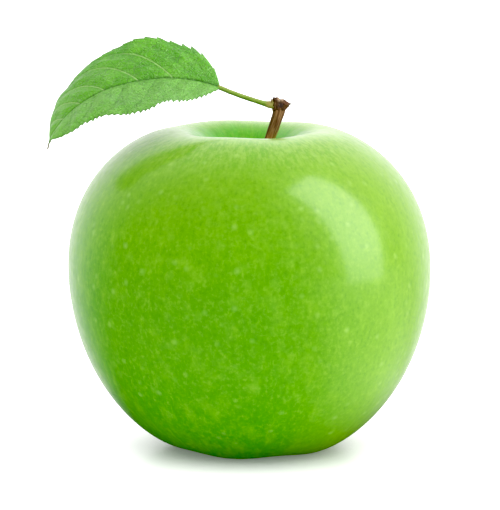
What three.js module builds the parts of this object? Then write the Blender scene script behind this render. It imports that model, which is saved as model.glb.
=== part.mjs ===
// A green eating apple as picked: the fruit standing on its five basal lobes, its woody stalk with the
// torn spur knuckle on top, and one leaf on its petiole. In the basin underneath are the dried flower
// parts. Millimetres, +Z up. The origin is the middle of the bounding box's base, and -Y is the front.
import * as THREE from 'three';

// ---- fruit: a solid of polar radii, measured from a point on its axis --------------------------------
const FRUIT_AXIS_X = 2.0;          // the leaf reaches out to -X, so the fruit stands off the origin
const CORE_HEIGHT = 35.45;         // of that point above the table
const MEAN_RADIUS = 39.85;
const TOP_HEAVY = 0.63;            // harmonics of the polar angle, in mm
const FLATTENED = -0.69;
const SHOULDERED = -1.08;
const SQUARED = -0.64;
const CAVITY_DEPTH = 17.0;         // the funnel round the stalk
const CAVITY_SPREAD = 0.256;       // its width, in radians of the polar angle
const BASIN_DEPTH = 8.8;           // the hollow round the dried flower
const BASIN_SPREAD = 0.26;
const LOBES = 5;
const LOBE_PHASE = -1.82;          // direction of the first lobe, in radians from +X
const FOOT_ANGLE = 2.76;           // polar angle of the ring of feet
const FOOT_SPREAD = 0.36;
const FOOT_DROP = 0.4;             // how far a lobe stands below the valleys beside it, halved
const LOBE_BULGE = 0.012;          // of the radius, fading from the base up
const CROWN_BULGE = 0.15;          // mm, the same five lobes round the rim of the cavity
const CROWN_ANGLE = 0.5;
const CROWN_SPREAD = 0.3;
const EVEN_MIDDLE = 0.18;          // the lobes die away in the middle of the cavity and of the basin
const LEAN = 0.012;                // sideways drift of the axis per mm of height
const FRUIT_ROWS = 58;
const FRUIT_COLUMNS = 60;
const POLE_CROWDING = 0.4;         // how far the rows draw in towards the cavity and the basin

// ---- stalk, spur knuckle and bud, placed from the fruit's axis ---------------------------------------
const STALK_PATH = [[0.45, 0, 58.9], [2.0, 0.2, 63.0], [4.3, 0.2, 68.5], [6.2, 0, 74.1]];
const STALK_RADIUS = 1.02;
const STALK_FLARE = 0.28;          // extra radius at the head, and half as much at the foot
const KNUCKLE_CENTRE = [6.9, 0, 76.3];
const KNUCKLE_SIZE = [1.95, 1.45, 1.4];
const KNUCKLE_BEAK = 0.14;         // how far its end is drawn out, as a share of its size
const KNUCKLE_DIP = 0.2;           // depth of the tear across its top, the same
const KNUCKLE_DIP_AT = 0.25;
const KNUCKLE_DIP_SPREAD = 0.22;
const KNUCKLE_LUMPS = [[3, 0.07, 0.6], [5, 0.05, -1.57]];   // waves round it, share of its size, phase
const KNUCKLE_ROWS = 10;
const KNUCKLE_COLUMNS = 16;
const BUD_BASE = [4.75, -0.3, 77.5];
const BUD_TIP = [4.4, -0.4, 78.4];
const BUD_RADIUS = 0.4;

// ---- leaf --------------------------------------------------------------------------------------------
const PETIOLE_PATH = [[4.35, 0, 76.2], [3.2, 0, 76.45], [1.3, 0, 77.05], [-2.7, 0, 78.4], [-6.1, 0, 79.75]];
const PETIOLE_RADIUS = 0.5;
const PETIOLE_SWELLING = 0.25;     // extra radius where it leaves the knuckle
const MIDRIB = [
  [-6.6, 0, 80.0], [-10.1, -0.6, 81.2], [-17, -2, 82.3], [-24, -3.5, 81.9],
  [-32, -5.5, 79.9], [-39, -7.5, 75.6], [-43.4, -9, 70.1], [-44.2, -9.4, 67.4],
];
const BLADE_HALF_WIDTH = 12.8;
const BLADE_WIDEST = 0.43;         // share of the length from the base
const BLADE_TILT = [32, 24];       // degrees that the blade leans towards the front, at its base and its tip
const BLADE_FOLD = [10, 0];        // degrees that each half rises from the midrib, at the base and the tip
const TIP_CURL = 0.24;             // how far the margins roll under at the tip, as a share of the half width
const RUFFLE_AT = 0.33;            // share of the length where both margins are lifted in a wave
const RUFFLE_SPREAD = 0.1;
const RUFFLE_RISE = 1.5;
const WAIST_AT = 0.7;              // the margins draw in, and swell again before the tip
const WAIST_DEPTH = 0.12;
const SWELLING_AT = 0.84;
const SWELLING = 0.17;
const MARGIN_SPREAD = 0.06;
const BLADE_FULLNESS = 0.75;       // how roundly the blade widens from its base
const TIP_HALF_WIDTH = 0.3;
const BLADE_THICKNESS = 0.6;
const BLADE_STEPS = 30;
const BLADE_ACROSS = 5;            // strips in each half

// ---- dried flower in the basin -----------------------------------------------------------------------
const EYE_HEIGHT = 4.85;           // where the stamens start, just clear of the basin's skin
const SEPAL_RING = 2.7;
const SEPAL_BOW = 0.9;             // how far it bows in towards the axis
const SEPAL_FLICK = 0.5;           // how far its tip turns out again
const SEPAL_CUP = 0.12;            // how much its edges turn in, per mm of width
const SEPAL_TIP = 0.08;            // half width at the tip
const SEPAL_HEIGHT = 4.0;          // where the sepals start, further out and so lower
const SEPAL_LENGTH = 2.9;
const SEPAL_HALF_WIDTH = 1.15;
const SEPAL_THICKNESS = 0.35;
const STAMENS = 8;
const STAMEN_RING = 1.05;
const STAMEN_RADIUS = 0.13;
const STAMEN_LENGTH = 2.0;
const STAMEN_BEND = 0.09;
const ANTHER_RADIUS = 0.19;
const ANTHER_FROM = 0.75;          // share of the stamen's length
const STYLE_HEIGHT = 5.15;
const STYLE_RADIUS = 0.3;
const STYLE_TAPER = 0.35;
const STYLE_LENGTH = 1.6;

const radians = THREE.MathUtils.degToRad;
const between = ([start, end], share) => start + (end - start) * share;
const vector = ([x, y, z]) => new THREE.Vector3(x, y, z);
const bell = (x, spread) => Math.exp(-((x / spread) ** 2));

function material(color, roughness) {
  return new THREE.MeshStandardMaterial({ color, roughness, metalness: 0 });
}

// A closed solid between two end points, skinned over rings of equally many points. Each ring runs
// anticlockwise seen from the last ring, so every face points out.
function skin(start, rings, end) {
  const around = rings[0].length;
  const points = [start, ...rings.flat(), end];
  const last = points.length - 1;
  const at = (ring, i) => 1 + ring * around + (i % around);
  const faces = [];
  for (let i = 0; i < around; i++) {
    faces.push(0, at(0, i + 1), at(0, i));
    for (let r = 0; r + 1 < rings.length; r++) {
      faces.push(at(r, i), at(r, i + 1), at(r + 1, i));
      faces.push(at(r, i + 1), at(r + 1, i + 1), at(r + 1, i));
    }
    faces.push(last, at(rings.length - 1, i), at(rings.length - 1, i + 1));
  }
  const geometry = new THREE.BufferGeometry().setFromPoints(points);
  geometry.setIndex(faces);
  geometry.computeVertexNormals();
  return geometry;
}

// A round rod along a smooth path, its radius a function of the share of the length.
function rod(path, radiusAt, steps, sides, dome = 0.5) {
  const curve = new THREE.CatmullRomCurve3(path.map(vector), false, 'centripetal');
  const frames = curve.computeFrenetFrames(steps, false);
  const rings = frames.normals.map((normal, s) => {
    const centre = curve.getPointAt(s / steps);
    const radius = radiusAt(s / steps);
    return Array.from({ length: sides }, (_, i) => {
      const turn = (2 * Math.PI * i) / sides;
      return centre.clone()
        .addScaledVector(normal, radius * Math.cos(turn))
        .addScaledVector(frames.binormals[s], radius * Math.sin(turn));
    });
  });
  const start = curve.getPointAt(0).addScaledVector(frames.tangents[0], -dome * radiusAt(0));
  const end = curve.getPointAt(1).addScaledVector(frames.tangents[steps], dome * radiusAt(1));
  return skin(start, rings, end);
}

// ---- fruit -------------------------------------------------------------------------------------------
// Distance of the skin from the core point, at a polar angle counted from straight up.
function polarRadius(polar) {
  return MEAN_RADIUS
    + TOP_HEAVY * Math.cos(polar)
    + FLATTENED * Math.cos(2 * polar)
    + SHOULDERED * Math.cos(3 * polar)
    + SQUARED * Math.cos(4 * polar)
    - CAVITY_DEPTH * bell(polar, CAVITY_SPREAD)
    - BASIN_DEPTH * bell(Math.PI - polar, BASIN_SPREAD);
}

function fruitPoint(polar, turn) {
  const lobe = Math.cos(LOBES * (turn - LOBE_PHASE));
  const towardsBase = (1 - Math.cos(polar)) / 2;
  const radius = polarRadius(polar) * Math.sin(polar) * (1 + LOBE_BULGE * lobe * towardsBase ** 2);
  const offMiddle = (1 - bell(polar, EVEN_MIDDLE)) * (1 - bell(Math.PI - polar, EVEN_MIDDLE));
  const foot = FOOT_DROP * lobe * bell(polar - FOOT_ANGLE, FOOT_SPREAD) * offMiddle;
  const crown = CROWN_BULGE * lobe * bell(polar - CROWN_ANGLE, CROWN_SPREAD) * offMiddle;
  const height = CORE_HEIGHT + polarRadius(polar) * Math.cos(polar) - foot + crown;
  const drift = FRUIT_AXIS_X + LEAN * (CORE_HEIGHT - height);
  return new THREE.Vector3(
    drift + radius * Math.cos(turn),
    radius * Math.sin(turn),
    Math.max(height, 0),           // the feet are pressed flat where they carry the fruit
  );
}

// A solid skinned over the points of a function of polar angle and turn, from the bottom pole to the top.
function polarSolid(pointAt, rows, columns, crowding = 0) {
  const rings = [];
  for (let row = rows - 1; row > 0; row--) {
    const whole = (2 * Math.PI * row) / rows;
    const polar = (whole - crowding * Math.sin(whole)) / 2;
    rings.push(Array.from({ length: columns }, (_, i) => pointAt(polar, (2 * Math.PI * i) / columns)));
  }
  return skin(pointAt(Math.PI, 0), rings, pointAt(0, 0));
}

const fruit = () => polarSolid(fruitPoint, FRUIT_ROWS, FRUIT_COLUMNS, POLE_CROWDING);

// ---- stalk and knuckle -------------------------------------------------------------------------------
function stalk() {
  const radiusAt = (share) => STALK_RADIUS
    + STALK_FLARE * share ** 3
    + 0.5 * STALK_FLARE * (1 - share) ** 4;
  return rod(STALK_PATH, radiusAt, 14, 12, 0.3);
}

// The torn end of the fruiting spur: a lump drawn out to a point at +X, with a dip across its top.
function spurKnuckle() {
  const centre = vector(KNUCKLE_CENTRE);
  const [wide, deep, tall] = KNUCKLE_SIZE;
  const lumpPoint = (polar, turn) => {
    const out = Math.sin(polar);
    const beak = KNUCKLE_BEAK * Math.max(0, Math.cos(turn)) ** 4 * out ** 3;
    const waves = KNUCKLE_LUMPS.map(([count, share, phase]) => share * Math.cos(count * turn + phase));
    const lumps = 1 + (waves[0] + waves[1]) * out;
    const across = out * Math.cos(turn) - KNUCKLE_DIP_AT;
    const dip = KNUCKLE_DIP * bell(across, KNUCKLE_DIP_SPREAD) * Math.max(0, Math.cos(polar));
    return new THREE.Vector3(
      wide * out * Math.cos(turn) * lumps * (1 + beak),
      deep * out * Math.sin(turn) * lumps,
      tall * (Math.cos(polar) - dip),
    ).add(centre);
  };
  return polarSolid(lumpPoint, KNUCKLE_ROWS, KNUCKLE_COLUMNS);
}

// The small scaly bud in the angle between the petiole and the knuckle, egg-shaped.
function axillaryBud() {
  const radiusAt = (share) => BUD_RADIUS * Math.max(Math.sin(Math.PI * (0.25 + 0.7 * share)), 0.2);
  return rod([BUD_BASE, BUD_TIP], radiusAt, 6, 8);
}

// ---- leaf --------------------------------------------------------------------------------------------
function petiole() {
  const radiusAt = (share) => PETIOLE_RADIUS + PETIOLE_SWELLING * (1 - share) ** 6;
  return rod(PETIOLE_PATH, radiusAt, 16, 10, 0.2);
}

// Half width at a share of the length: rounded at the base, drawn out to a fine tip.
function bladeHalfWidth(share) {
  const rise = (share / BLADE_WIDEST) ** BLADE_FULLNESS;
  const fall = ((1 - share) / (1 - BLADE_WIDEST)) ** ((BLADE_FULLNESS * (1 - BLADE_WIDEST)) / BLADE_WIDEST);
  const margin = 1 - WAIST_DEPTH * bell(share - WAIST_AT, MARGIN_SPREAD)
    + SWELLING * bell(share - SWELLING_AT, MARGIN_SPREAD);
  return Math.max(BLADE_HALF_WIDTH * rise * fall * margin, TIP_HALF_WIDTH);
}

// One cross-section of the blade: over the top from the front margin to the rear one, and back below.
function bladeSection(curve, share) {
  const centre = curve.getPointAt(share);
  const along = curve.getTangentAt(share);
  const tilt = radians(between(BLADE_TILT, share));
  const fold = radians(between(BLADE_FOLD, share));
  const lean = new THREE.Vector3(0, Math.cos(tilt), Math.sin(tilt));
  const across = lean.addScaledVector(along, -lean.dot(along)).normalize();
  const upward = new THREE.Vector3().crossVectors(across, along).normalize();
  const width = bladeHalfWidth(share);
  const ruffle = RUFFLE_RISE * bell(share - RUFFLE_AT, RUFFLE_SPREAD);
  const place = (side, lift) => {
    const reach = Math.abs(side);
    const curl = width * TIP_CURL * share ** 2 * reach ** 3;
    return centre.clone()
      .addScaledVector(across, width * side * Math.cos(fold))
      .addScaledVector(upward, width * reach * Math.sin(fold) - curl + ruffle * reach ** 2 + lift);
  };
  const half = BLADE_THICKNESS / 2;
  const sides = Array.from({ length: 2 * BLADE_ACROSS + 1 }, (_, i) => i / BLADE_ACROSS - 1);
  const top = sides.map((side) => place(side, half * Math.sqrt(1 - side ** 2)));
  const under = sides.slice(1, -1).reverse().map((side) => place(side, -half * Math.sqrt(1 - side ** 2)));
  return [...top, ...under];
}

function blade() {
  const curve = new THREE.CatmullRomCurve3(MIDRIB.map(vector), false, 'centripetal');
  const rings = Array.from({ length: BLADE_STEPS - 1 }, (_, i) => bladeSection(curve, (i + 1) / BLADE_STEPS));
  return skin(curve.getPointAt(0), rings, curve.getPointAt(1));
}

// ---- dried flower ------------------------------------------------------------------------------------
// A withered sepal hanging from the rim of the eye, bowed in at the middle and turned out at its tip.
// It is drawn at +X, and turned into its place by its mesh.
function sepal() {
  const steps = 8;
  const section = (share) => {
    const bow = SEPAL_RING - SEPAL_BOW * Math.sin(Math.PI * share) + SEPAL_FLICK * share ** 2;
    const height = SEPAL_HEIGHT - SEPAL_LENGTH * share;
    const half = SEPAL_HALF_WIDTH * (1 - share) ** 0.7 + SEPAL_TIP;
    const inner = bow - SEPAL_THICKNESS / 2;
    const outer = bow + SEPAL_THICKNESS / 2;
    return [[inner, -half], [inner, 0], [inner, half], [outer, half], [outer, 0], [outer, -half]]
      .map(([x, y]) => new THREE.Vector3(x - SEPAL_CUP * y ** 2, y, height));
  };
  const rings = Array.from({ length: steps + 1 }, (_, i) => section(i / steps));
  const middle = (ring) => ring.reduce((sum, p) => sum.add(p), new THREE.Vector3()).divideScalar(ring.length);
  return skin(middle(rings[0]), rings, middle(rings[steps]));
}

// A thread with its withered anther at the tip, drawn at +X like a sepal.
function stamen() {
  const tip = EYE_HEIGHT - STAMEN_LENGTH;
  const path = [
    [STAMEN_RING, 0, EYE_HEIGHT],
    [STAMEN_RING - STAMEN_BEND, 0, (EYE_HEIGHT + tip) / 2],
    [STAMEN_RING + STAMEN_BEND, 0, tip],
  ];
  const radiusAt = (share) => (share < ANTHER_FROM ? STAMEN_RADIUS : ANTHER_RADIUS);
  return rod(path, radiusAt, 5, 6);
}

function styleRemnant() {
  const radiusAt = (share) => STYLE_RADIUS * (1 - STYLE_TAPER * share);
  return rod([[0, 0, STYLE_HEIGHT], [0, 0, STYLE_HEIGHT - STYLE_LENGTH]], radiusAt, 4, 8);
}

// ---- assembly ----------------------------------------------------------------------------------------
const SKIN = material('#7fc41c', 0.35);
const WOOD = material('#6b4a1e', 0.85);
const BUD = material('#b3a06a', 0.8);
const GREEN_STEM = material('#7d9c33', 0.55);
const LEAF = material('#74b852', 0.5);
const DRIED = material('#5a4630', 0.95);

const apple = new THREE.Group();

function add(name, geometry, finish, turn = 0) {
  const mesh = new THREE.Mesh(geometry, finish);
  mesh.name = name;
  mesh.rotation.z = turn;
  return mesh;
}

apple.add(add('fruit', fruit(), SKIN));

const onTheAxis = new THREE.Group();
onTheAxis.position.x = FRUIT_AXIS_X;
onTheAxis.add(
  add('stalk', stalk(), WOOD),
  add('spur_knuckle', spurKnuckle(), WOOD),
  add('axillary_bud', axillaryBud(), BUD),
  add('leaf_petiole', petiole(), GREEN_STEM),
  add('leaf_blade', blade(), LEAF),
  add('style_remnant', styleRemnant(), DRIED),
);
for (let i = 0; i < LOBES; i++) {
  onTheAxis.add(add(`sepal_${i + 1}`, sepal(), DRIED, LOBE_PHASE + (2 * Math.PI * i) / LOBES));
}
for (let i = 0; i < STAMENS; i++) {
  onTheAxis.add(add(`stamen_${i + 1}`, stamen(), DRIED, (2 * Math.PI * (i + 0.5)) / STAMENS));
}
apple.add(onTheAxis);

export default apple;
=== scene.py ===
"""A green apple as picked, with its stalk, one leaf and the dried flower underneath, on a white table.

Lengths are in millimetres up to the moment a mesh is made, where MM turns them into metres. The
fruit's axis stands at AXIS, and every piece but the fruit is drawn from that axis. -Y is the front.
"""
import math

import bpy
import numpy as np
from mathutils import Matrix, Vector, noise


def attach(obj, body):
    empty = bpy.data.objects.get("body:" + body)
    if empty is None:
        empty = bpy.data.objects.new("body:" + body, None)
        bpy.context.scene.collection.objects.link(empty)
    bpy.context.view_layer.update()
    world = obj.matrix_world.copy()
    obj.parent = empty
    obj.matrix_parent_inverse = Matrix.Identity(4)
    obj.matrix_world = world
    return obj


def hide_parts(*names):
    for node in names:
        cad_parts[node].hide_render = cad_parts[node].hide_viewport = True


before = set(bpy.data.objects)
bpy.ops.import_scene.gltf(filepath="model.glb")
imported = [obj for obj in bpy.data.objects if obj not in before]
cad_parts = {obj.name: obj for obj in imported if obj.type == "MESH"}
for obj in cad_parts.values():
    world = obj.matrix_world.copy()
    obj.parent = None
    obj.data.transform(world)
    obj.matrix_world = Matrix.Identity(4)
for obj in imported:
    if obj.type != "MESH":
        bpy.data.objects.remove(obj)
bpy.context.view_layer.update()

MM = 0.001
TAU = 2 * math.pi
AXIS = Vector((2.0, 0, 0))

# ---- fruit -------------------------------------------------------------------------------------------
CORE_HEIGHT = 35.45
MEAN_RADIUS = 39.85
HARMONICS = (0.63, -0.69, -1.08, -0.64)     # of the polar angle: top heavy, flattened, shouldered, squared
CAVITY_DEPTH, CAVITY_SPREAD = 17.0, 0.256   # angles and spreads are of the polar angle, in radians
BASIN_DEPTH, BASIN_SPREAD = 8.8, 0.26
LOBES, LOBE_PHASE, LOBE_BULGE = 5, -1.82, 0.005
FOOT_ANGLE, FOOT_SPREAD, FOOT_DROP = 2.76, 0.36, 0.36
FOOT_EVEN = 0.3                             # share of the drop that runs all round, between the lobes too
CROWN_ANGLE, CROWN_SPREAD, CROWN_BULGE = 0.5, 0.3, 0.15
EVEN_MIDDLE = 0.18                          # lobes and folds fade out this close to both poles
LEAN = 0.012                                # drift to +X for each mm down
FRUIT_ROWS, FRUIT_COLUMNS, POLE_CROWDING = 230, 330, 0.4
SWELLS, SWELL_WAVES = 0.1, 1.7              # slow unevenness of the flesh, and waves of it per radius
CREASES, CREASE_DEPTH = 21, 0.07            # radial wrinkles in the cavity
CREASE_ANGLE, CREASE_SPREAD = 0.2, 0.13
PUCKERS, PUCKER_DEPTH = 15, 0.16            # and round the eye of the basin
PUCKER_ANGLE, PUCKER_SPREAD = 2.98, 0.1
FOLD_WANDER, FOLD_WAVES = 2, 2              # how far the folds stray sideways, and how often

# ---- stalk, knuckle and bud --------------------------------------------------------------------------
STALK_PATH = [
    (0.1, 0, 57.0), (0.45, 0, 58.9), (2.0, 0.2, 63.0), (4.3, 0.2, 68.5), (6.2, 0, 74.1), (6.6, 0, 75.6),
]
STALK_RADIUS, STALK_FLARE, STALK_FOOT = 1.02, 0.28, 0.45
STALK_FLARE_POWER, STALK_FOOT_POWER = 3, 9
GROOVES, GROOVE_DEPTH, GROOVE_WANDER = 9, 0.05, 3
BARK_LUMPS, LUMPS_ROUND, LUMPS_ALONG = 0.09, 2.2, 9
GROOVES_AT_FOOT, LUMPS_AT_FOOT = 0.4, 0.3   # share of their depth at the foot, growing upwards
STALK_STEPS, STALK_SIDES = 130, 64
KNUCKLE_CENTRE = Vector((6.9, 0, 76.3))
KNUCKLE_OUTLINE = [                         # seen from the front: X and Z from its centre
    (-1.85, 1.52), (-0.5, 1.36), (-0.22, 0.98), (0.2, 1.12), (1.15, 0.62), (2.15, 0.08),
    (1.25, -0.8), (0.45, -1.7), (-0.8, -1.9), (-1.95, -1.6), (-2.0, -0.2),
]
KNUCKLE_DEPTH, KNUCKLE_SQUARE = 1.4, 0.55
KNUCKLE_ROWS, KNUCKLE_COLUMNS = 70, 150
SPLINTERS, FINE_SPLINTERS, SPLINTERS_DEEP = 0.2, 0.6, 0.1
SPLINTER_WAVES, FINE_WAVES = (2.6, 2.6, 0.9), (6, 6, 2)
BUD_PATH = [(5.35, -0.35, 76.3), (5.0, -0.5, 76.9), (4.65, -0.5, 77.55)]
BUD_RADIUS, BUD_SCALES, SCALE_STEP, BUD_DOME = 0.46, 4, 0.14, 0.1
BUD_EGG, BUD_POINT = (0.3, 0.98), 0.06      # stretch of half a sine wave, and the least share of the radius
BUD_STEPS, BUD_SIDES = 48, 32

# ---- leaf --------------------------------------------------------------------------------------------
PETIOLE_PATH = [
    (5.3, 0, 76.15), (4.35, 0, 76.2), (3.2, 0, 76.45), (1.3, 0, 77.05), (-2.7, 0, 78.4), (-7.0, 0, 80.1),
]
PETIOLE_RADIUS, PETIOLE_TAPER, PETIOLE_LUMPS = 0.58, 0.04, 0.035
PETIOLE_SWELLING, SWELLING_REACH = 0.34, 0.13
PETIOLE_CHANNEL, CHANNEL_SPREAD = 0.1, 0.5
PETIOLE_STEPS, PETIOLE_SIDES = 110, 36
MIDRIB = [
    (-6.6, 0, 80.0), (-10.1, -0.6, 81.2), (-17, -2, 82.3), (-24, -3.5, 81.9),
    (-32, -5.5, 79.9), (-39, -7.5, 75.6), (-43.4, -9, 70.1), (-44.2, -9.4, 67.4),
]
BLADE_HALF_WIDTH, BLADE_WIDEST, BLADE_FULLNESS = 12.8, 0.43, 0.75
BLADE_TILT, BLADE_FOLD, TIP_CURL = (32, 24), (10, 0), 0.24
RUFFLE_AT, RUFFLE_SPREAD, RUFFLE_RISE = 0.33, 0.1, 1.5
WAIST_AT, WAIST_DEPTH, SWELLING_AT, SWELLING, MARGIN_SPREAD = 0.7, 0.12, 0.88, 0.36, 0.06
REAR_FULLER = [(0.08, 0.3, 0.1), (0.83, 0.45, 0.16)]    # where the rear half is wider, how much, how far
TIP_HALF_WIDTH, BLADE_THICKNESS = 0.2, 0.3
TAIL_AT, TAIL_SPREAD = 0.945, 0.006         # where the blade narrows to its thread-like tip
BLADE_STEPS, BLADE_ACROSS = 340, 52
TOOTH_PITCH, TOOTH_DEPTH, TOOTH_WANDER, TOOTH_HOOK, TOOTH_INSET = 1.3, 1.25, 0.35, 1.4, 0.45
TOOTH_SIZES = (0.65, 0.45)                  # the middle size, and how far a tooth differs from it
TEETH_FROM, TEETH_END = 1 / 14, 1 / 12      # shares of the length over which they fade in and out
FRONT_TEETH = 1.15                          # how much of a tooth the front margin has
REAR_TOOTH_PITCH, REAR_TEETH, REAR_TEETH_TO, WORN_TEETH = 2.1, 1.9, 0.3, 0.12
REAR_VEINS = [                              # shares of the length where each one starts and ends
    (0.05, 0.24), (0.14, 0.40), (0.24, 0.56), (0.41, 0.71), (0.585, 0.82), (0.72, 0.9), (0.83, 0.96),
]
FRONT_VEINS = [(0.08, 0.28), (0.19, 0.43), (0.32, 0.58), (0.48, 0.73), (0.64, 0.85), (0.77, 0.93)]
VEIN_REACH = 0.93                           # share of the half width that a side vein runs out to
VEIN_POINTS, VEIN_BEND, VEIN_TURN = 17, 1.1, 1.8
VEIN_WIDTH, MIDRIB_WIDTH, MIDRIB_TAPER = 0.2, 0.34, 0.75
QUILTING, QUILT_SPREAD = 0.5, 1.6
VEIN_GROOVE, VEIN_RIDGE = 0.12, 0.264       # how far both faces sink, and how much further the lower one
MIDRIB_GROOVE, MIDRIB_RIDGE = 0.24, 0.48
MARGIN_WAVES, WAVES_ALONG, WAVES_ACROSS = 0.35, 13, 2.2
MARGIN_MARK = 0.35                          # width of the darker margin
FRONT_FAINTER, BASE_FAINTER, BASE_TO = 0.5, 0.4, 0.2    # side veins of the front half and near the base

# ---- dried flower ------------------------------------------------------------------------------------
EYE_HEIGHT, SEPAL_HEIGHT, SEPAL_RING, SEPAL_LENGTH = 4.85, 4.0, 2.7, 2.9
SEPAL_HALF_WIDTH, SEPAL_TIP, SEPAL_BOW, SEPAL_FLICK, SEPAL_CUP = 1.15, 0.06, 0.9, 0.5, 0.12
SEPAL_THICKNESS, SEPAL_ROOT, SEPAL_RAGGED, SEPAL_CRUMPLE = (0.22, 0.12), 0.9, 0.16, 0.16
SEPAL_TAPER, SEPAL_STEPS, SEPAL_ACROSS = 0.7, 30, 9
STAMENS, STAMEN_RING, STAMEN_RADIUS, STAMEN_LENGTH, ANTHER_RADIUS = 8, 1.05, 0.11, 2.0, 0.21
STAMEN_STEPS, STAMEN_SIDES, STAMEN_ROOT = 40, 16, 0.9
STAMEN_UNEVEN, STAMEN_LEAN, THREAD_LUMPS = 0.12, 0.25, 0.15
ANTHER_AT, ANTHER_SPREAD, ANTHER_FLAT = 0.9, 0.09, 0.3
STYLE_HEIGHT, STYLE_RADIUS, STYLE_LENGTH = 5.6, 0.34, 2.1
STYLES, STYLE_TAPER, STYLE_SEAMS, STYLE_LUMPS = 5, 0.4, 0.16, 0.03
STYLE_STEPS, STYLE_SIDES = 40, 30

# ---- camera, light and table -------------------------------------------------------------------------
CAMERA_AT, CAMERA_AIM, LENS = Vector((2.0, -888.2, 180.5)), Vector((2.0, 0, 42.7)), 286.7
FLOOR_REACH = 4.0                           # metres
SOFTBOX_AZIMUTH, SOFTBOX_ELEVATION, SOFTBOX_DISTANCE = 76, 21, 0.62
SOFTBOX_SIZE, SOFTBOX_POWER = (0.36, 1.3), 5.1
SOFTBOX_FADE = 0.5                          # share of its height over which the lower end fades
FILL_ELEVATION, FILL_STRENGTH, FILL_ANGLE = 14, 1.82, 80
SKY_FROM, SKY_STRENGTH, SKY_ANGLE = Vector((0.1, 0.25, 1.0)), 0.75, 120
STUDIO_LIGHT, STUDIO_GLOSS, STUDIO_DARK_TO = 1.0, 1.4, -0.1
BRIGHT_SIDE = (0, 0.98, 0.2)                # where gloss sees the studio brightest
FLOOR_WHITE, FLOOR_ROUGHNESS = 0.6, 0.32
FLOOR_GLOW, GLOW_REACH = 1.0, 0.028         # the table glows, less within this many metres of the fruit
GLOW_FROM, GLOW_TO, GLOW_LEAST = 0.1, 0.82, 0.15        # open sky over the darkest and the full glow
MIRROR_FROM = 0.3                           # open sky at which gloss starts to see the studio in the table
TABLE_LIT, LIT_FROM = 1.1, 0.72             # gloss sees the table lit by the softbox, on the softbox's side
BLACK_POINT = 0.022


# ---- shape helpers -----------------------------------------------------------------------------------
def bell(x, spread):
    return math.exp(-((x / spread) ** 2))


def between(pair, share):
    return pair[0] + (pair[1] - pair[0]) * share


def wobble(*place):
    """Smooth noise from -1 to 1 at a place in waves."""
    return noise.noise(Vector(place))


class SmoothPath:
    """A centripetal Catmull-Rom curve through a list of points, read by share of its length."""

    PARTS = 60                              # straight pieces that each span is measured with
    SIGHT = 3                               # how many of them a direction is smoothed over, each way

    def __init__(self, points):
        points = [Vector(p) for p in points]
        ends = [2 * points[0] - points[1], 2 * points[-1] - points[-2]]
        points = [ends[0], *points, ends[1]]
        self.trail = [self.span(points[i:i + 4], k / self.PARTS)
                      for i in range(len(points) - 3) for k in range(self.PARTS)] + [points[-2]]
        self.reached = [0.0]
        for a, b in zip(self.trail, self.trail[1:]):
            self.reached.append(self.reached[-1] + (b - a).length)
        self.length = self.reached[-1]

    @staticmethod
    def span(four, t):
        a, b, c, d = four
        ab, bc, cd = (math.sqrt((q - p).length) for p, q in zip(four, four[1:]))
        leave = ((b - a) / ab - (c - a) / (ab + bc) + (c - b) / bc) * bc
        reach = ((c - b) / bc - (d - b) / (bc + cd) + (d - c) / cd) * bc
        return (b + leave * t + (3 * (c - b) - 2 * leave - reach) * t ** 2
                + (2 * (b - c) + leave + reach) * t ** 3)

    def at(self, share):
        """The point and the direction at a share of the length."""
        far = min(max(share, 0), 1) * self.length
        i = min(int(np.searchsorted(self.reached, far, "right")) - 1, len(self.trail) - 2)
        step = self.reached[i + 1] - self.reached[i]
        part = (far - self.reached[i]) / step if step else 0
        before = self.trail[max(i - self.SIGHT, 0)]
        after = self.trail[min(i + 1 + self.SIGHT, len(self.trail) - 1)]
        return self.trail[i].lerp(self.trail[i + 1], part), (after - before).normalized()


def skin(start, rings, end):
    """Points and faces of a closed solid over rings of equally many points, between two end points.
    Each ring runs anticlockwise seen from the last ring, so every face points out."""
    around = len(rings[0])
    points = [start, *(p for ring in rings for p in ring), end]
    last = len(points) - 1
    final = last - around
    faces = []
    for i in range(around):
        j = (i + 1) % around
        faces.append((0, 1 + j, 1 + i))
        faces.append((last, final + i, final + j))
        for low in range(1, final, around):
            faces.append((low + i, low + j, low + around + j, low + around + i))
    return points, faces


def rod(path, radius_at, steps, sides, dome=0.4):
    """A round rod along a path. Its marks are the share of the length and the cosine and sine of the
    turn round it, which starts on the upper or right side and goes by the rear."""
    curve = SmoothPath(path)
    rings, marks = [], []
    for s in range(steps + 1):
        share = s / steps
        centre, along = curve.at(share)
        across = Vector((0, 1, 0))
        across = (across - along * across.dot(along)).normalized()
        upward = across.cross(along)
        ring = []
        for i in range(sides):
            turn = TAU * i / sides
            radius = radius_at(share, turn)
            ring.append(centre + upward * radius * math.cos(turn) + across * radius * math.sin(turn))
            marks.append((share, math.cos(turn), math.sin(turn)))
        rings.append(ring)
    head, tail = curve.at(0), curve.at(1)
    start = head[0] - head[1] * dome * radius_at(0, 0)
    end = tail[0] + tail[1] * dome * radius_at(1, 0)
    points, faces = skin(start, rings, end)
    return points, faces, {"along": [(0, 1, 0), *marks, (1, 1, 0)]}


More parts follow.
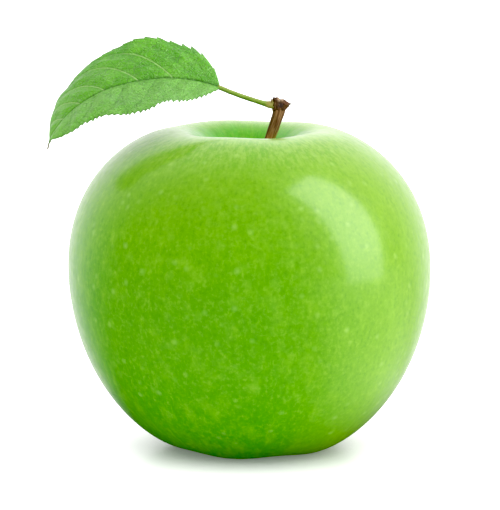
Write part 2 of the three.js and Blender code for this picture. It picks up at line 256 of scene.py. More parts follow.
def piece(name, shape, finish, slot, *nodes, origin=AXIS, turn=0.0):
    """Makes a smooth object of a shape in millimetres, turned about its origin's axis, which rides on
    the fruit and stands for the CAD nodes named."""
    points, faces, marks = shape
    c, s = math.cos(turn), math.sin(turn)
    placed = [((x * c - y * s + origin.x) * MM, (x * s + y * c + origin.y) * MM, (z + origin.z) * MM)
              for x, y, z in points]
    mesh = bpy.data.meshes.new(name)
    mesh.from_pydata(placed, [], faces)
    mesh.shade_smooth()
    for mark, values in marks.items():
        attribute = mesh.attributes.new(mark, "FLOAT_VECTOR", "POINT")
        attribute.data.foreach_set("vector", np.array(values, dtype=np.float32).ravel())
    mesh.materials.append(finish)
    made = bpy.data.objects.new(name, mesh)
    bpy.context.scene.collection.objects.link(made)
    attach(made, "root")
    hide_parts(*nodes)
    return made


# ---- fruit -------------------------------------------------------------------------------------------
def polar_radius(polar):
    waves = sum(size * math.cos((k + 1) * polar) for k, size in enumerate(HARMONICS))
    cavity = CAVITY_DEPTH * bell(polar, CAVITY_SPREAD)
    return MEAN_RADIUS + waves - cavity - BASIN_DEPTH * bell(math.pi - polar, BASIN_SPREAD)


def wrinkles(polar, turn):
    """Depth of the fine radial folds in the cavity and round the eye."""
    stray = FOLD_WANDER * wobble(math.cos(turn) * FOLD_WAVES, math.sin(turn) * FOLD_WAVES, 5)
    folds = CREASE_DEPTH * math.cos(CREASES * turn + stray) * bell(polar - CREASE_ANGLE, CREASE_SPREAD)
    puckers = PUCKER_DEPTH * math.cos(PUCKERS * turn + stray) * bell(polar - PUCKER_ANGLE, PUCKER_SPREAD)
    return folds + puckers


def fruit_point(polar, turn):
    lobe = math.cos(LOBES * (turn - LOBE_PHASE))
    towards_base = (1 - math.cos(polar)) / 2
    off_middle = (1 - bell(polar, EVEN_MIDDLE)) * (1 - bell(math.pi - polar, EVEN_MIDDLE))
    out = Vector((math.sin(polar) * math.cos(turn), math.sin(polar) * math.sin(turn), math.cos(polar)))
    swell = SWELLS * noise.noise(out * SWELL_WAVES) * off_middle
    from_core = polar_radius(polar) + swell - wrinkles(polar, turn) * off_middle
    radius = from_core * math.sin(polar) * (1 + LOBE_BULGE * lobe * towards_base ** 2)
    foot = FOOT_DROP * between((lobe, 1), FOOT_EVEN) * bell(polar - FOOT_ANGLE, FOOT_SPREAD) * off_middle
    crown = CROWN_BULGE * lobe * bell(polar - CROWN_ANGLE, CROWN_SPREAD) * off_middle
    height = CORE_HEIGHT + from_core * math.cos(polar) - foot + crown
    drift = AXIS.x + LEAN * (CORE_HEIGHT - height)
    return Vector((drift + radius * math.cos(turn), radius * math.sin(turn), max(height, 0)))


def fruit():
    rings, marks = [], []
    for row in range(FRUIT_ROWS - 1, 0, -1):
        whole = TAU * row / FRUIT_ROWS
        polar = (whole - POLE_CROWDING * math.sin(whole)) / 2
        turns = [TAU * i / FRUIT_COLUMNS for i in range(FRUIT_COLUMNS)]
        rings.append([fruit_point(polar, turn) for turn in turns])
        marks += [(math.cos(turn), math.sin(turn), polar) for turn in turns]
    points, faces = skin(fruit_point(math.pi, 0), rings, fruit_point(0, 0))
    return points, faces, {"around": [(1, 0, math.pi), *marks, (1, 0, 0)]}


# ---- stalk, knuckle and bud --------------------------------------------------------------------------
def stalk():
    def radius_at(share, turn):
        flare = STALK_FLARE * share ** STALK_FLARE_POWER
        foot = STALK_FOOT * (1 - share) ** STALK_FOOT_POWER
        wander = GROOVE_WANDER * wobble(share * 3, 0, 2)
        groove = GROOVE_DEPTH * math.cos(GROOVES * turn + wander) * (GROOVES_AT_FOOT + share)
        lumps = wobble(LUMPS_ROUND * math.cos(turn), LUMPS_ROUND * math.sin(turn), share * LUMPS_ALONG)
        bark = BARK_LUMPS * lumps * (LUMPS_AT_FOOT + share)
        return STALK_RADIUS + flare + foot + groove + bark
    return rod(STALK_PATH, radius_at, STALK_STEPS, STALK_SIDES)


def outline_radius(outline, angle):
    """Distance from a point inside a closed outline, its origin, to its edge in a direction."""
    dx, dz = math.cos(angle), math.sin(angle)
    tiny = 1e-9
    for (ax, az), (bx, bz) in zip(outline, outline[1:] + outline[:1]):
        ex, ez = bx - ax, bz - az
        cross = dx * ez - dz * ex
        if abs(cross) < tiny:
            continue
        far = (ax * ez - az * ex) / cross
        part = (ax * dz - az * dx) / cross
        if far > 0 and -tiny <= part <= 1 + tiny:
            return far
    return 0.0


def knuckle():
    """The torn end of the fruiting spur: a block of its broken outline, rounded at front and rear."""
    rings, marks = [], []
    radii = [outline_radius(KNUCKLE_OUTLINE, TAU * i / KNUCKLE_COLUMNS) for i in range(KNUCKLE_COLUMNS)]
    for row in range(1, KNUCKLE_ROWS):
        rise = math.pi * (row / KNUCKLE_ROWS - 0.5)
        ring = []
        for i, radius in enumerate(radii):
            turn = TAU * i / KNUCKLE_COLUMNS
            flat = radius * math.cos(rise) ** KNUCKLE_SQUARE
            x, z = flat * math.cos(turn), flat * math.sin(turn)
            y = -KNUCKLE_DEPTH * math.sin(rise)
            coarse, fine = (wobble(x * by[0], y * by[1], z * by[2]) for by in (SPLINTER_WAVES, FINE_WAVES))
            torn = coarse + FINE_SPLINTERS * fine
            grown = 1 + SPLINTERS * torn / max(flat, 1)
            ring.append(KNUCKLE_CENTRE + Vector((x * grown, y * (1 + SPLINTERS_DEEP * torn), z * grown)))
            marks.append((x, y, z))
        rings.append(ring)
    front, rear = Vector((0, -KNUCKLE_DEPTH, 0)), Vector((0, KNUCKLE_DEPTH, 0))
    points, faces = skin(KNUCKLE_CENTRE + rear, rings, KNUCKLE_CENTRE + front)
    return points, faces, {"torn": [tuple(rear), *marks, tuple(front)]}


def bud():
    def radius_at(share, turn):
        egg = max(math.sin(math.pi * between(BUD_EGG, share)), BUD_POINT)
        scale = (share * BUD_SCALES + turn / TAU) % 1.0
        return BUD_RADIUS * egg * (0.9 + SCALE_STEP * (1 - scale))
    return rod(BUD_PATH, radius_at, BUD_STEPS, BUD_SIDES, BUD_DOME)


# ---- leaf --------------------------------------------------------------------------------------------
def petiole():
    def radius_at(share, turn):
        plain = PETIOLE_RADIUS + PETIOLE_SWELLING * bell(share, SWELLING_REACH) - PETIOLE_TAPER * share
        channel = PETIOLE_CHANNEL * bell(math.remainder(turn, TAU), CHANNEL_SPREAD) * min(1, share * 4)
        return plain - channel + PETIOLE_LUMPS * wobble(share * 22, math.cos(turn), math.sin(turn))
    return rod(PETIOLE_PATH, radius_at, PETIOLE_STEPS, PETIOLE_SIDES)


def blade_half_width(share, rear):
    rise = (share / BLADE_WIDEST) ** BLADE_FULLNESS
    fall = ((1 - share) / (1 - BLADE_WIDEST)) ** (BLADE_FULLNESS * (1 - BLADE_WIDEST) / BLADE_WIDEST)
    margin = (1 - WAIST_DEPTH * bell(share - WAIST_AT, MARGIN_SPREAD)
              + SWELLING * bell(share - SWELLING_AT, MARGIN_SPREAD))
    if rear:
        margin += sum(more * bell(share - at, spread) for at, more, spread in REAR_FULLER)
    tail = 1 / (1 + math.exp((share - TAIL_AT) / TAIL_SPREAD))
    return max(BLADE_HALF_WIDTH * rise * fall * margin * tail, TIP_HALF_WIDTH)


def tooth(far, rear):
    """How far the margin stands out at a distance from the base: teeth that point to the tip."""
    shift = TOOTH_WANDER * wobble(far * 0.4, 3 if rear else 7, 0)
    count, part = divmod(far / (REAR_TOOTH_PITCH if rear else TOOTH_PITCH) + shift, 1)
    size = TOOTH_SIZES[0] + TOOTH_SIZES[1] * wobble(count * 1.7, 1 if rear else 9, 4)
    return TOOTH_DEPTH * size * (part ** TOOTH_HOOK - TOOTH_INSET)


def tooth_share(share, rear):
    """The teeth fade at the base and the tip. On the rear margin they are coarse near the base and
    worn away towards the tip."""
    fade = min(1, share / TEETH_FROM) * min(1, (1 - share) / TEETH_END)
    return fade * (WORN_TEETH + REAR_TEETH * bell(share, REAR_TEETH_TO) if rear else FRONT_TEETH)


def side_veins():
    """The side veins as lines in the flat leaf: distance from the base, and from the midrib. Each
    comes with its strength."""
    lines = []
    for sign, veins in ((1, REAR_VEINS), (-1, FRONT_VEINS)):
        for start, end in veins:
            line = []
            for t in np.linspace(0, 1, VEIN_POINTS):
                share = start + (end - start) * t ** VEIN_BEND
                out = VEIN_REACH * (1 - (1 - t) ** VEIN_TURN)
                line.append((share * LEAF_LENGTH, sign * out * blade_half_width(share, sign > 0)))
            strength = (FRONT_FAINTER if sign < 0 else 1) * (BASE_FAINTER if start < BASE_TO else 1)
            lines.append((np.array(line), strength))
    return lines


def vein_marks(flat):
    """For each flat point, the distance to the nearest side vein and how much of the point is vein."""
    nearest, strongest = np.full(len(flat), np.inf), np.zeros(len(flat))
    for line, strength in side_veins():
        for a, b in zip(line, line[1:]):
            edge = b - a
            t = np.clip(((flat - a) @ edge) / (edge @ edge), 0, 1)
            away = np.linalg.norm(flat - a - t[:, None] * edge, axis=1)
            nearest = np.minimum(nearest, away)
            strongest = np.maximum(strongest, strength * np.exp(-(away / VEIN_WIDTH) ** 2))
    return nearest, strongest


def blade_place(share, side):
    """The middle of the blade's thickness at a share of its length and half width, its upward side, and
    how far out it lies in the flat leaf."""
    centre, along = LEAF_CURVE.at(share)
    tilt, fold = math.radians(between(BLADE_TILT, share)), math.radians(between(BLADE_FOLD, share))
    lean = Vector((0, math.cos(tilt), math.sin(tilt)))
    across = (lean - along * lean.dot(along)).normalized()
    upward = across.cross(along).normalized()
    width, reach = blade_half_width(share, side > 0), abs(side)
    cut = tooth(share * LEAF_LENGTH, side > 0) * tooth_share(share, side > 0) * reach ** 10
    out = math.copysign(width * reach + cut, side) if side else 0
    curl = width * TIP_CURL * share ** 2 * reach ** 3
    ruffle = RUFFLE_RISE * bell(share - RUFFLE_AT, RUFFLE_SPREAD) * reach ** 2
    unrest = wobble(share * WAVES_ALONG, WAVES_ACROSS * side, 1)
    waves = MARGIN_WAVES * unrest * reach ** 3 * min(1, width / 6)
    rise = width * reach * math.sin(fold) - curl + ruffle + waves
    return centre + across * out * math.cos(fold) + upward * rise, upward, out


def blade():
    """Rings over the top from the front margin to the rear one and back below. The marks tell the
    places in the flat leaf, and how much of each point is side vein, midrib and margin."""
    sides = [i / BLADE_ACROSS - 1 for i in range(2 * BLADE_ACROSS + 1)]
    order = [(side, 1) for side in sides] + [(side, -1) for side in reversed(sides[1:-1])]
    rows = [[blade_place(s / BLADE_STEPS, side) for side in sides] for s in range(1, BLADE_STEPS)]
    flat = np.array([(s / BLADE_STEPS * LEAF_LENGTH, row[i][2])
                     for s, row in enumerate(rows, 1) for i in range(len(sides))])
    away, strength = (found.reshape(len(rows), len(sides)) for found in vein_marks(flat))
    rings, marks, veins = [], [], []
    for s, row in enumerate(rows, 1):
        share = s / BLADE_STEPS
        rib = MIDRIB_WIDTH * (1 - MIDRIB_TAPER * share)
        ring = []
        for side, face in order:
            i = round((side + 1) * BLADE_ACROSS)
            width = blade_half_width(share, side > 0)
            middle, upward, out = row[i]
            vein = strength[s - 1][i] * (1 - abs(side) ** 6)
            midrib = bell(out, rib) * min(1, width / 3)
            apart = min(away[s - 1][i], abs(out))
            puff = QUILTING * (1 - bell(apart, QUILT_SPREAD)) * (1 - abs(side) ** 4) * min(1, width / 5)
            groove = VEIN_GROOVE * vein + MIDRIB_GROOVE * midrib
            ridge = VEIN_RIDGE * vein + MIDRIB_RIDGE * midrib if face < 0 else 0
            half = face * BLADE_THICKNESS / 2 * math.sqrt(1 - side ** 2)
            ring.append(middle + upward * (half + puff - groove - ridge))
            marks.append((share * LEAF_LENGTH, out, face))
            veins.append((vein, midrib, bell((1 - abs(side)) * width, MARGIN_MARK)))
        rings.append(ring)
    start, end = LEAF_CURVE.at(0)[0], LEAF_CURVE.at(1)[0]
    points, faces = skin(start, rings, end)
    return points, faces, {
        "flat_leaf": [(0, 0, 1), *marks, (LEAF_LENGTH, 0, 1)],
        "veins": [(0, 1, 0), *veins, (0, 0, 1)],
    }


# ---- dried flower ------------------------------------------------------------------------------------
def sepal(number):
    """A withered sepal drawn at +X: bowed in, its tip turned out and its edges curled and ragged."""
    sides = [i / SEPAL_ACROSS * 2 - 1 for i in range(SEPAL_ACROSS + 1)]
    order = [(side, -1) for side in sides] + [(side, 1) for side in reversed(sides[1:-1])]
    rings, marks = [], []
    for s in range(SEPAL_STEPS + 1):
        share = s / SEPAL_STEPS
        bow = SEPAL_RING - SEPAL_BOW * math.sin(math.pi * share) + SEPAL_FLICK * share ** 2
        half = SEPAL_HALF_WIDTH * (1 - share) ** SEPAL_TAPER + SEPAL_TIP
        half *= 1 + SEPAL_RAGGED * wobble(share * 7, number * 3.1, 0)
        thick = between(SEPAL_THICKNESS, share)
        z = SEPAL_HEIGHT + SEPAL_ROOT * (1 - share) ** 6 - SEPAL_LENGTH * share
        ring = []
        for side, face in order:
            y = half * side
            crumple = SEPAL_CRUMPLE * wobble(share * 5, side * 2.3, number * 1.7)
            x = bow - SEPAL_CUP * y ** 2 + crumple + face * thick * math.sqrt(1 - side ** 2)
            ring.append(Vector((x, y, z)))
            marks.append((share, side, face))
        rings.append(ring)
    middles = [sum(ring, Vector()) / len(ring) for ring in (rings[0], rings[-1])]
    points, faces = skin(middles[0], rings, middles[1])
    return points, faces, {"along": [(0, 0, 1), *marks, (1, 0, 1)]}


def stamen(number):
    """A dried thread with its withered anther, drawn at +X."""
    tip = EYE_HEIGHT - STAMEN_LENGTH * (1 + STAMEN_UNEVEN * wobble(number * 2.3, 0, 0))
    lean = STAMEN_LEAN * wobble(number * 1.9, 4, 0)
    path = [
        (STAMEN_RING + 0.1, 0, EYE_HEIGHT + STAMEN_ROOT),
        (STAMEN_RING - 0.08, lean / 2, (EYE_HEIGHT + tip) / 2),
        (STAMEN_RING + 0.12, lean, tip),
    ]

    def radius_at(share, turn):
        flattened = 1 + ANTHER_FLAT * math.cos(2 * turn)
        anther = (ANTHER_RADIUS - STAMEN_RADIUS) * bell(share - ANTHER_AT, ANTHER_SPREAD) * flattened
        return STAMEN_RADIUS * (1 + THREAD_LUMPS * wobble(share * 12, turn, number)) + anther
    return rod(path, radius_at, STAMEN_STEPS, STAMEN_SIDES)


def style():
    """The five styles, grown together for most of their length."""
    def radius_at(share, turn):
        grown = (1 - STYLE_TAPER * share) * (1 + STYLE_SEAMS * math.cos(STYLES * turn))
        return STYLE_RADIUS * grown + STYLE_LUMPS * wobble(share * 9, turn, 0)
    path = [(0, 0, STYLE_HEIGHT), (0.06, 0.05, STYLE_HEIGHT - STYLE_LENGTH)]
    return rod(path, radius_at, STYLE_STEPS, STYLE_SIDES)


# ---- finishes ----------------------------------------------------------------------------------------
def tint(code):
    """A colour written as six hexadecimal digits, in linear light."""
    parts = [int(code[i:i + 2], 16) / 255 for i in (0, 2, 4)]
    linear = [p / 12.92 if p <= 0.04045 else ((p + 0.055) / 1.055) ** 2.4 for p in parts]
    return (*linear, 1.0)


class Nodes:
    """The nodes of a material, a world or a light. Most methods add a node and give back its output."""

    def __init__(self, owner, shader):
        owner.use_nodes = True
        self.tree = owner.node_tree
        self.shader = self.tree.nodes[shader]

    def put(self, kind, values, **settings):
        node = self.tree.nodes.new("ShaderNode" + kind)
        for name, value in settings.items():
            setattr(node, name, value)
        for socket, value in values.items():
            self.feed(node.inputs[socket], value)
        return node

    def feed(self, socket, value):
        if isinstance(value, bpy.types.NodeSocket):
            self.tree.links.new(value, socket)
        else:
            socket.default_value = value

    def give(self, socket, value):
        self.feed(self.shader.inputs[socket], value)

    def ramp(self, value, start, end, low=0.0, high=1.0):
        """A smooth step from low to high as the value goes from start to end."""
        values = {"Value": value, "From Min": start, "From Max": end, "To Min": low, "To Max": high}
        return self.put("MapRange", values, interpolation_type="SMOOTHSTEP").outputs[0]

    def parts(self, vector):
        return self.put("SeparateXYZ", {0: vector}).outputs

    def maths(self, operation, a, b):
        return self.put("Math", {0: a, 1: b}, operation=operation).outputs[0]

    def sum(self, a, b):
        return self.maths("ADD", a, b)

    def times(self, a, b):
        return self.maths("MULTIPLY", a, b)

    def mix(self, share, first, second):
        return self.put("Mix", {0: share, 2: first, 3: second}, data_type="FLOAT").outputs[0]


class Finish(Nodes):
    """One material's nodes. Places are in millimetres."""

    def __init__(self, name, settings):
        self.material = bpy.data.materials.new(name)
        super().__init__(self.material, "Principled BSDF")
        for socket, value in settings.items():
            self.give(socket, value)

    def place(self):
        where = self.put("TexCoord", {}).outputs["Object"]
        return self.put("VectorMath", {0: where, "Scale": 1 / MM}, operation="SCALE").outputs[0]

    def mark(self, name):
        """What a shape told about each of its points."""
        return self.put("Attribute", {}, attribute_name=name).outputs["Vector"]

    def combine(self, x, y, z):
        return self.put("CombineXYZ", {0: x, 1: y, 2: z}).outputs[0]

    def stretch(self, vector, by):
        return self.put("VectorMath", {0: vector, 1: by}, operation="MULTIPLY").outputs[0]

    def noise(self, vector, size, detail=3.0, roughness=0.55, distortion=0.0):
        """Soft noise from 0 to 1, in blots of a size in the vector's own units."""
        values = {"Vector": vector, "Scale": 1 / size, "Detail": detail, "Roughness": roughness,
                  "Distortion": distortion}
        return self.put("TexNoise", values).outputs[0]

    def cells(self, vector, size, feature="F1"):
        return self.put("TexVoronoi", {"Vector": vector, "Scale": 1 / size}, feature=feature)

    def blend(self, share, first, second):
        """A colour that goes from the first to the second as the share goes from 0 to 1."""
        return self.put("Mix", {0: share, 6: first, 7: second}, data_type="RGBA").outputs[2]

    def bump(self, height, depth, under=None):
        """Raises the surface by a height from 0 to 1 times a depth in mm."""
        values = {"Height": height, "Distance": depth * MM, "Strength": 1.0}
        if under is not None:
            values["Normal"] = under
        return self.put("Bump", values).outputs[0]


def skin_finish():
    f = Finish("green_skin", {
        "Specular IOR Level": 0.33, "Coat Weight": 0.48, "Coat Roughness": 0.14,
        "Subsurface Weight": 0.1, "Subsurface Radius": (0.6, 1.0, 0.05), "Subsurface Scale": 0.002,
    })
    place, around = f.place(), f.mark("around")
    right, _, polar = f.parts(around)
    # ground colour: paler and yellower on the shoulder, painted light, and deeper green towards the base,
    # painted shade, with random patches
    patches = f.noise(place, 24, 2)
    height = f.sum(polar, f.times(patches, 0.5))
    ground = f.blend(f.ramp(height, 0.8, 1.9), tint("76ac18"), tint("549900"))
    ground = f.blend(f.ramp(height, 1.9, 3.0), ground, tint("3a9200"))
    # painted light: yellower and paler on the right, the softbox's side
    ground = f.blend(f.ramp(right, 0.0, 1.0, 0, 0.6), ground, tint("86b018"))
    # inside the cavity: fresh green, then pale and russet towards the stalk
    wall = f.sum(polar, f.times(f.noise(f.stretch(around, (9, 9, 3)), 1, 3), 0.12))
    ground = f.blend(f.ramp(wall, 0.5, 0.34), ground, tint("56b40a"))
    ground = f.blend(f.ramp(wall, 0.2, 0.1), ground, tint("86a82c"))
    ground = f.blend(f.ramp(wall, 0.14, 0.07, 0, 0.7), ground, tint("8a6b2e"))
    # mottling, drawn out a little from the stalk to the eye
    lines = f.stretch(around, (40, 40, 26))
    broad = f.noise(lines, 4.5, 3, 0.6)
    fine = f.noise(lines, 1.1, 3, 0.65)
    speckle = f.noise(place, 0.8, 2, 0.6)
    ground = f.blend(f.ramp(broad, 0.45, 0.75, 0, 0.3), ground, tint("86b826"))
    ground = f.blend(f.ramp(fine, 0.5, 0.8, 0, 0.34), ground, tint("94c034"))
    ground = f.blend(f.ramp(fine, 0.5, 0.2, 0, 0.34), ground, tint("368000"))
    ground = f.blend(f.ramp(speckle, 0.5, 0.8, 0, 0.26), ground, tint("98c240"))
    ground = f.blend(f.ramp(speckle, 0.5, 0.2, 0, 0.26), ground, tint("347c00"))
    # pale mottling on the shoulder, partly the skin's own flecks and partly painted sheen, with deeper green
    # flecks among it
    shoulder = f.times(f.ramp(polar, 0.95, 0.45), f.ramp(polar, 0.3, 0.42))
    flecks = f.noise(lines, 1.4, 4, 0.7)
    ground = f.blend(f.times(shoulder, f.ramp(flecks, 0.42, 0.62, 0.0, 0.44)), ground, tint("a2cc5c"))
    ground = f.blend(f.times(shoulder, f.ramp(flecks, 0.5, 0.36, 0.0, 0.6)), ground, tint("5ca804"))
    # painted sheen: the lip of the cavity made pale, as the light from above makes it look
    painted_lip_sheen = f.times(f.ramp(polar, 0.33, 0.44), f.ramp(polar, 0.6, 0.46))
    ground = f.blend(f.times(painted_lip_sheen, 0.35), ground, tint("bede90"))
    # lenticels: soft pale dots, here and there, with broader halos
    spots = f.cells(place, 3.4)
    few = f.ramp(f.parts(spots.outputs["Color"])[0], 0.45, 0.6)
    dots = f.times(few, f.ramp(spots.outputs["Distance"], 0.3, 0.0))
    halos = f.ramp(f.cells(place, 4.5).outputs["Distance"], 0.34, 0.1)
    ground = f.blend(f.times(halos, 0.1), ground, tint("98c648"))
    ground = f.blend(f.times(dots, 0.24), ground, tint("b0d672"))
    f.give("Base Color", ground)
    f.give("Roughness", f.ramp(f.noise(place, 1.6, 4), 0.3, 0.75, 0.28, 0.4))
    pores = f.noise(place, 0.45, 2)
    normal = f.bump(pores, 0.01)
    normal = f.bump(dots, 0.012, normal)
    f.give("Normal", f.bump(fine, 0.016, normal))
    return f.material


def stalk_finish():
    f = Finish("stalk_wood", {"Specular IOR Level": 0.35, "Roughness": 0.7})
    share, right, rear = f.parts(f.mark("along"))
    lines = f.combine(f.times(right, 3.0), f.times(rear, 3.0), f.times(share, 4.0))
    grain = f.noise(lines, 0.8, 4, 0.6, 0.4)
    lower = f.blend(f.ramp(grain, 0.3, 0.7), tint("a05c18"), tint("c27e38"))
    upper = f.blend(f.ramp(grain, 0.3, 0.7), tint("643e22"), tint("aa7e56"))
    wood = f.blend(f.ramp(share, 0.5, 0.78), lower, upper)
    wood = f.blend(f.ramp(grain, 0.62, 0.78, 0, 0.6), wood, tint("bfa684"))
    green_side = f.times(f.ramp(right, 0.3, 0.8), f.ramp(share, 0.8, 0.4))
    wood = f.blend(green_side, wood, tint("a7b040"))
    # painted shade: the stalk's left side darker, away from the light
    wood = f.blend(f.times(f.ramp(right, -0.6, -0.95), 0.6), wood, tint("4c3a1e"))
    wood = f.blend(f.ramp(share, 0.2, 0.08, 0, 0.6), wood, tint("8a9440"))
    f.give("Base Color", wood)
    flecks = f.noise(f.place(), 0.35, 4)
    f.give("Normal", f.bump(flecks, 0.03, f.bump(grain, 0.07)))
    return f.material


def knuckle_finish():
    f = Finish("torn_bark", {"Specular IOR Level": 0.25, "Roughness": 0.85})
    torn = f.mark("torn")
    x, _, z = f.parts(torn)
    grain = f.noise(f.stretch(torn, (1, 1, 0.45)), 0.5, 5, 0.65, 0.6)
    bark = f.blend(f.ramp(grain, 0.35, 0.65), tint("402f22"), tint("704e35"))
    bark = f.blend(f.times(f.ramp(x, 0.3, 1.1), 0.7), bark, tint("6c4832"))
    bark = f.blend(f.times(f.ramp(x, 1.5, 1.9), 0.85), bark, tint("7c7a6e"))
    heart = f.times(f.ramp(x, -1.1, -0.5), f.ramp(x, 0.7, 0.1))
    middle = f.times(heart, f.times(f.ramp(z, -0.9, -0.3), f.ramp(z, 0.75, 0.2)))
    bark = f.blend(f.times(middle, 0.7), bark, tint("4a3c3e"))
    # painted highlight: the top of the torn face paler, where light falls from above
    top = f.times(heart, f.ramp(z, 0.55, 1.0))
    bark = f.blend(f.times(top, f.ramp(grain, 0.3, 0.55)), bark, tint("bda384"))
    bark = f.blend(f.ramp(grain, 0.6, 0.72, 0, 0.7), bark, tint("b49a7a"))
    f.give("Base Color", bark)
    f.give("Normal", f.bump(f.noise(f.place(), 0.3, 4), 0.05, f.bump(grain, 0.12)))
    return f.material


def bud_finish():
    f = Finish("bud_scales", {"Specular IOR Level": 0.3, "Roughness": 0.7})
    share = f.parts(f.mark("along"))[0]
    down = f.noise(f.place(), 0.14, 3)
    scales = f.blend(f.ramp(share, 0.1, 0.9), tint("a7a24a"), tint("6f4a24"))
    f.give("Base Color", f.blend(f.ramp(down, 0.45, 0.7, 0, 0.6), scales, tint("c9c08a")))
    f.give("Normal", f.bump(down, 0.04))
    return f.material


def petiole_finish():
    f = Finish("petiole_green", {
        "Specular IOR Level": 0.4, "Roughness": 0.5,
        "Subsurface Weight": 0.1, "Subsurface Radius": (0.5, 1.0, 0.2), "Subsurface Scale": 0.0006,
    })
    share, up, rear = f.parts(f.mark("along"))
    lines = f.combine(f.times(up, 2.0), f.times(rear, 2.0), f.times(share, 8.0))
    grain = f.noise(lines, 0.7, 3)
    # painted shade: the underside darker green and the upper side paler, as light falls from above
    green = f.blend(f.ramp(up, -0.9, 0.3), tint("456e10"), tint("7f9e36"))
    green = f.blend(f.times(f.ramp(grain, 0.4, 0.7), 0.4), green, tint("b4c261"))
    flush = f.times(f.ramp(up, 0.72, 0.95), f.ramp(share, 0.12, 0.45))
    green = f.blend(f.times(flush, 0.75), green, tint("8d4a22"))
    base = f.blend(grain, tint("8d8436"), tint("b9ae68"))
    f.give("Base Color", f.blend(f.ramp(share, 0.17, 0.1), green, base))
    f.give("Normal", f.bump(f.noise(f.place(), 0.25, 3), 0.03, f.bump(grain, 0.04)))
    return f.material


def leaf_finish():
    f = Finish("leaf_green", {
        "Specular IOR Level": 0.5, "Sheen Weight": 0.03, "Sheen Roughness": 0.5,
        "Subsurface Weight": 0.1, "Subsurface Radius": (0.5, 1.0, 0.2), "Subsurface Scale": 0.0006,
    })
    flat, veins = f.mark("flat_leaf"), f.mark("veins")
    far, out, face = f.parts(flat)
    vein, midrib, margin = f.parts(veins)
    sheet = f.stretch(flat, (1, 1, 0.2))
    patches = f.noise(sheet, 7, 3)
    net = f.ramp(f.cells(sheet, 1.15, "DISTANCE_TO_EDGE").outputs["Distance"], 0.1, 0.0)
    mesh = f.ramp(f.cells(sheet, 0.55, "DISTANCE_TO_EDGE").outputs["Distance"], 0.16, 0.0)
    crumple = f.noise(sheet, 2.4, 3, 0.6)
    green = f.blend(f.ramp(patches, 0.3, 0.7), tint("53a01e"), tint("6ebb2a"))
    green = f.blend(f.ramp(far, LEAF_LENGTH * 0.45, LEAF_LENGTH * 0.8, 0, 0.6), green, tint("6cb626"))
    # painted sheen: the front half paler, as it faces the light
    green = f.blend(f.ramp(out, 0.2, -0.2, 0, 0.45), green, tint("88c460"))
    # painted shade in the hollows of the crumpling
    green = f.blend(f.ramp(crumple, 0.5, 0.3, 0, 0.3), green, tint("2f7014"))
    # painted shade along the sunken side veins
    green = f.blend(f.ramp(vein, 0.0, 0.25, 0, 0.25), green, tint("35741a"))
    green = f.blend(f.times(net, 0.3), green, tint("8cc45e"))
    green = f.blend(f.times(mesh, 0.3), green, tint("357a14"))
    green = f.blend(f.times(margin, 0.6), green, tint("33661c"))
    green = f.blend(f.ramp(vein, 0.35, 0.9, 0, 0.75), green, tint("a8d47c"))
    # painted shadow in the midrib's groove
    green = f.blend(f.times(midrib, 0.8), green, tint("2c6a14"))
    under = f.blend(f.times(f.maths("MAXIMUM", vein, midrib), 0.8), tint("86ab6c"), tint("b4cc92"))
    green = f.blend(f.ramp(face, 0.1, -0.1), green, under)
    green = f.blend(f.ramp(far, LEAF_LENGTH * 0.955, LEAF_LENGTH * 0.985), green, tint("8a8266"))
    f.give("Base Color", green)
    f.give("Roughness", f.ramp(patches, 0.2, 0.8, 0.28, 0.42))
    raised = f.sum(f.times(net, -0.8), f.times(mesh, -0.4))
    f.give("Normal", f.bump(raised, 0.16, f.bump(crumple, 0.8)))
    return f.material


def dried_finish():
    f = Finish("dried_flower", {"Specular IOR Level": 0.2, "Roughness": 0.9, "Sheen Weight": 0.25})
    share = f.parts(f.mark("along"))[0]
    grain = f.noise(f.place(), 0.35, 4, 0.65)
    dry = f.blend(f.ramp(grain, 0.3, 0.7), tint("3d2c1a"), tint("8a6c45"))
    dry = f.blend(f.ramp(share, 0.3, 0.0, 0, 0.6), dry, tint("7b8440"))
    f.give("Base Color", f.blend(f.ramp(grain, 0.6, 0.75, 0, 0.7), dry, tint("b39c78")))
    f.give("Normal", f.bump(grain, 0.08))
    return f.material


# ---- camera, light and table -------------------------------------------------------------------------
def make_camera():
    camera = bpy.data.objects.new("Camera", bpy.data.cameras.new("Camera"))
    camera.data.lens = LENS
    camera.data.clip_end = 20
    camera.location = CAMERA_AT * MM
    camera.rotation_euler = (CAMERA_AIM - CAMERA_AT).to_track_quat("-Z", "Y").to_euler()
    bpy.context.scene.collection.objects.link(camera)
    bpy.context.scene.camera = camera


def make_light(name, kind, away, unseen, **settings):
    """A light that stands away from the fruit's middle and shines on it. Rays of the kinds in unseen
    miss it."""
    light = bpy.data.lights.new(name, kind)
    for setting, value in settings.items():
        setattr(light, setting, value)
    lamp = bpy.data.objects.new(name, light)
    lamp.location = (AXIS + Vector((0, 0, CORE_HEIGHT))) * MM + away
    lamp.rotation_euler = (-away).to_track_quat("-Z", "Y").to_euler()
    for rays in unseen:
        setattr(lamp, "visible_" + rays, False)
    bpy.context.scene.collection.objects.link(lamp)
    return light


def towards(azimuth, elevation):
    """A direction from the fruit: azimuth 0 is the front and 90 the right."""
    a, e = math.radians(azimuth), math.radians(elevation)
    return Vector((math.sin(a) * math.cos(e), -math.cos(a) * math.cos(e), math.sin(e)))


def studio_gloss(n, direction):
    """How bright gloss sees the studio in a direction from the fruit."""
    bright = n.put("VectorMath", {0: direction, 1: BRIGHT_SIDE}, operation="DOT_PRODUCT").outputs["Value"]
    return n.ramp(bright, STUDIO_DARK_TO, 1.0, 0.0, STUDIO_GLOSS)


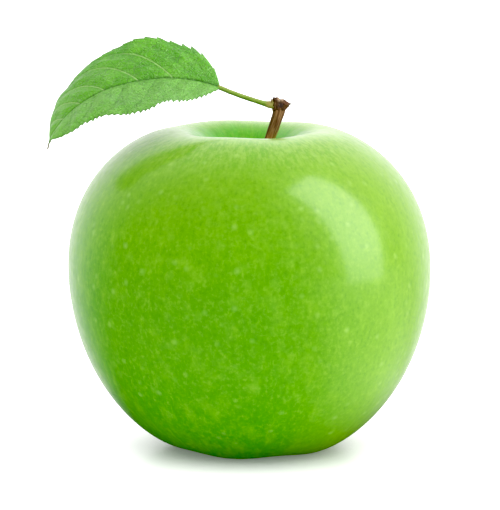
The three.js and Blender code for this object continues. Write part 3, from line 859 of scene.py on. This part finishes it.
def make_studio():
    """An even white studio as the world. Gloss sees it fade from bright behind to dark in front."""
    world = bpy.data.worlds.new("studio")
    bpy.context.scene.world = world
    n = Nodes(world, "Background")
    rays = n.put("LightPath", {}).outputs
    gloss = studio_gloss(n, n.put("TexCoord", {}).outputs["Generated"])
    light = n.mix(rays["Is Glossy Ray"], STUDIO_LIGHT, gloss)
    n.give("Strength", n.mix(rays["Is Camera Ray"], light, 1.0))
    n.give("Color", (1, 1, 1, 1))


def make_floor():
    mesh = bpy.data.meshes.new("white_table")
    corners = [(-1, -1), (1, -1), (1, 1), (-1, 1)]
    mesh.from_pydata([(x * FLOOR_REACH, y * FLOOR_REACH, 0) for x, y in corners], [], [(0, 1, 2, 3)])
    white = Finish("white_table", {
        "Base Color": (*(FLOOR_WHITE,) * 3, 1), "Roughness": FLOOR_ROUGHNESS, "Emission Color": (1, 1, 1, 1),
    })
    open_sky = white.put("AmbientOcclusion", {"Distance": GLOW_REACH}, samples=8).outputs["AO"]
    white.give("Emission Strength", white.ramp(open_sky, GLOW_FROM, GLOW_TO, GLOW_LEAST, FLOOR_GLOW))
    # gloss sees the studio again in the table, brighter on the softbox's side and dark under the fruit
    where = white.put("VectorMath", {0: white.place()}, operation="NORMALIZE").outputs[0]
    side = white.put("VectorMath", {0: where, 1: towards(SOFTBOX_AZIMUTH, 0)}, operation="DOT_PRODUCT")
    lit = white.ramp(side.outputs["Value"], LIT_FROM, 1.0, 0.0, TABLE_LIT)
    unshaded = white.ramp(open_sky, MIRROR_FROM, 1.0)
    mirrored = white.times(white.sum(studio_gloss(white, where), lit), unshaded)
    glow = white.put("Emission", {"Strength": mirrored}).outputs[0]
    glossy = white.put("LightPath", {}).outputs["Is Glossy Ray"]
    seen = white.put("MixShader", {0: glossy, 1: white.shader.outputs[0], 2: glow}).outputs[0]
    white.feed(white.tree.nodes["Material Output"].inputs["Surface"], seen)
    mesh.materials.append(white.material)
    floor = bpy.data.objects.new("white_table", mesh)
    bpy.context.scene.collection.objects.link(floor)


def make_lights():
    across, tall = SOFTBOX_SIZE
    softbox = make_light("softbox", "AREA", towards(SOFTBOX_AZIMUTH, SOFTBOX_ELEVATION) * SOFTBOX_DISTANCE,
                         ("camera", "diffuse"), shape="RECTANGLE", size=across, size_y=tall,
                         energy=SOFTBOX_POWER * across * tall * math.pi)
    n = Nodes(softbox, "Emission")
    height = n.parts(n.put("NewGeometry", {}).outputs["Parametric"])[1]
    n.give("Strength", n.ramp(height, 0.0, SOFTBOX_FADE))
    make_light("fill", "SUN", towards(SOFTBOX_AZIMUTH, FILL_ELEVATION), ("camera", "glossy"),
               angle=math.radians(FILL_ANGLE), energy=FILL_STRENGTH)
    make_light("overhead", "SUN", SKY_FROM, ("camera", "glossy"),
               angle=math.radians(SKY_ANGLE), energy=SKY_STRENGTH)


def set_tones():
    """Plain tones, with the black point of a print on white paper."""
    tones = bpy.context.scene.view_settings
    tones.view_transform = "Standard"
    tones.use_curve_mapping = True
    tones.curve_mapping.black_level = (BLACK_POINT,) * 3
    tones.curve_mapping.update()


# ---- making ------------------------------------------------------------------------------------------
LEAF_CURVE = SmoothPath(MIDRIB)
LEAF_LENGTH = LEAF_CURVE.length

make_camera()
make_studio()
make_floor()
make_lights()
set_tones()

piece("apple_fruit", fruit(), skin_finish(), "skin", "fruit", origin=Vector())
piece("woody_stalk", stalk(), stalk_finish(), "stalk_wood", "stalk")
piece("torn_knuckle", knuckle(), knuckle_finish(), "knuckle_bark", "spur_knuckle")
piece("scaly_bud", bud(), bud_finish(), "bud_scales", "axillary_bud")
piece("petiole", petiole(), petiole_finish(), "petiole_green", "leaf_petiole")
piece("leaf", blade(), leaf_finish(), "leaf", "leaf_blade")

DRIED = dried_finish()
piece("dried_style", style(), DRIED, "dried_flower", "style_remnant")
for i in range(LOBES):
    piece(f"dried_sepal_{i + 1}", sepal(i), DRIED, "dried_flower", f"sepal_{i + 1}",
          turn=LOBE_PHASE + TAU * i / LOBES)
for i in range(STAMENS):
    piece(f"dried_stamen_{i + 1}", stamen(i), DRIED, "dried_flower", f"stamen_{i + 1}",
          turn=TAU * (i + 0.5) / STAMENS)
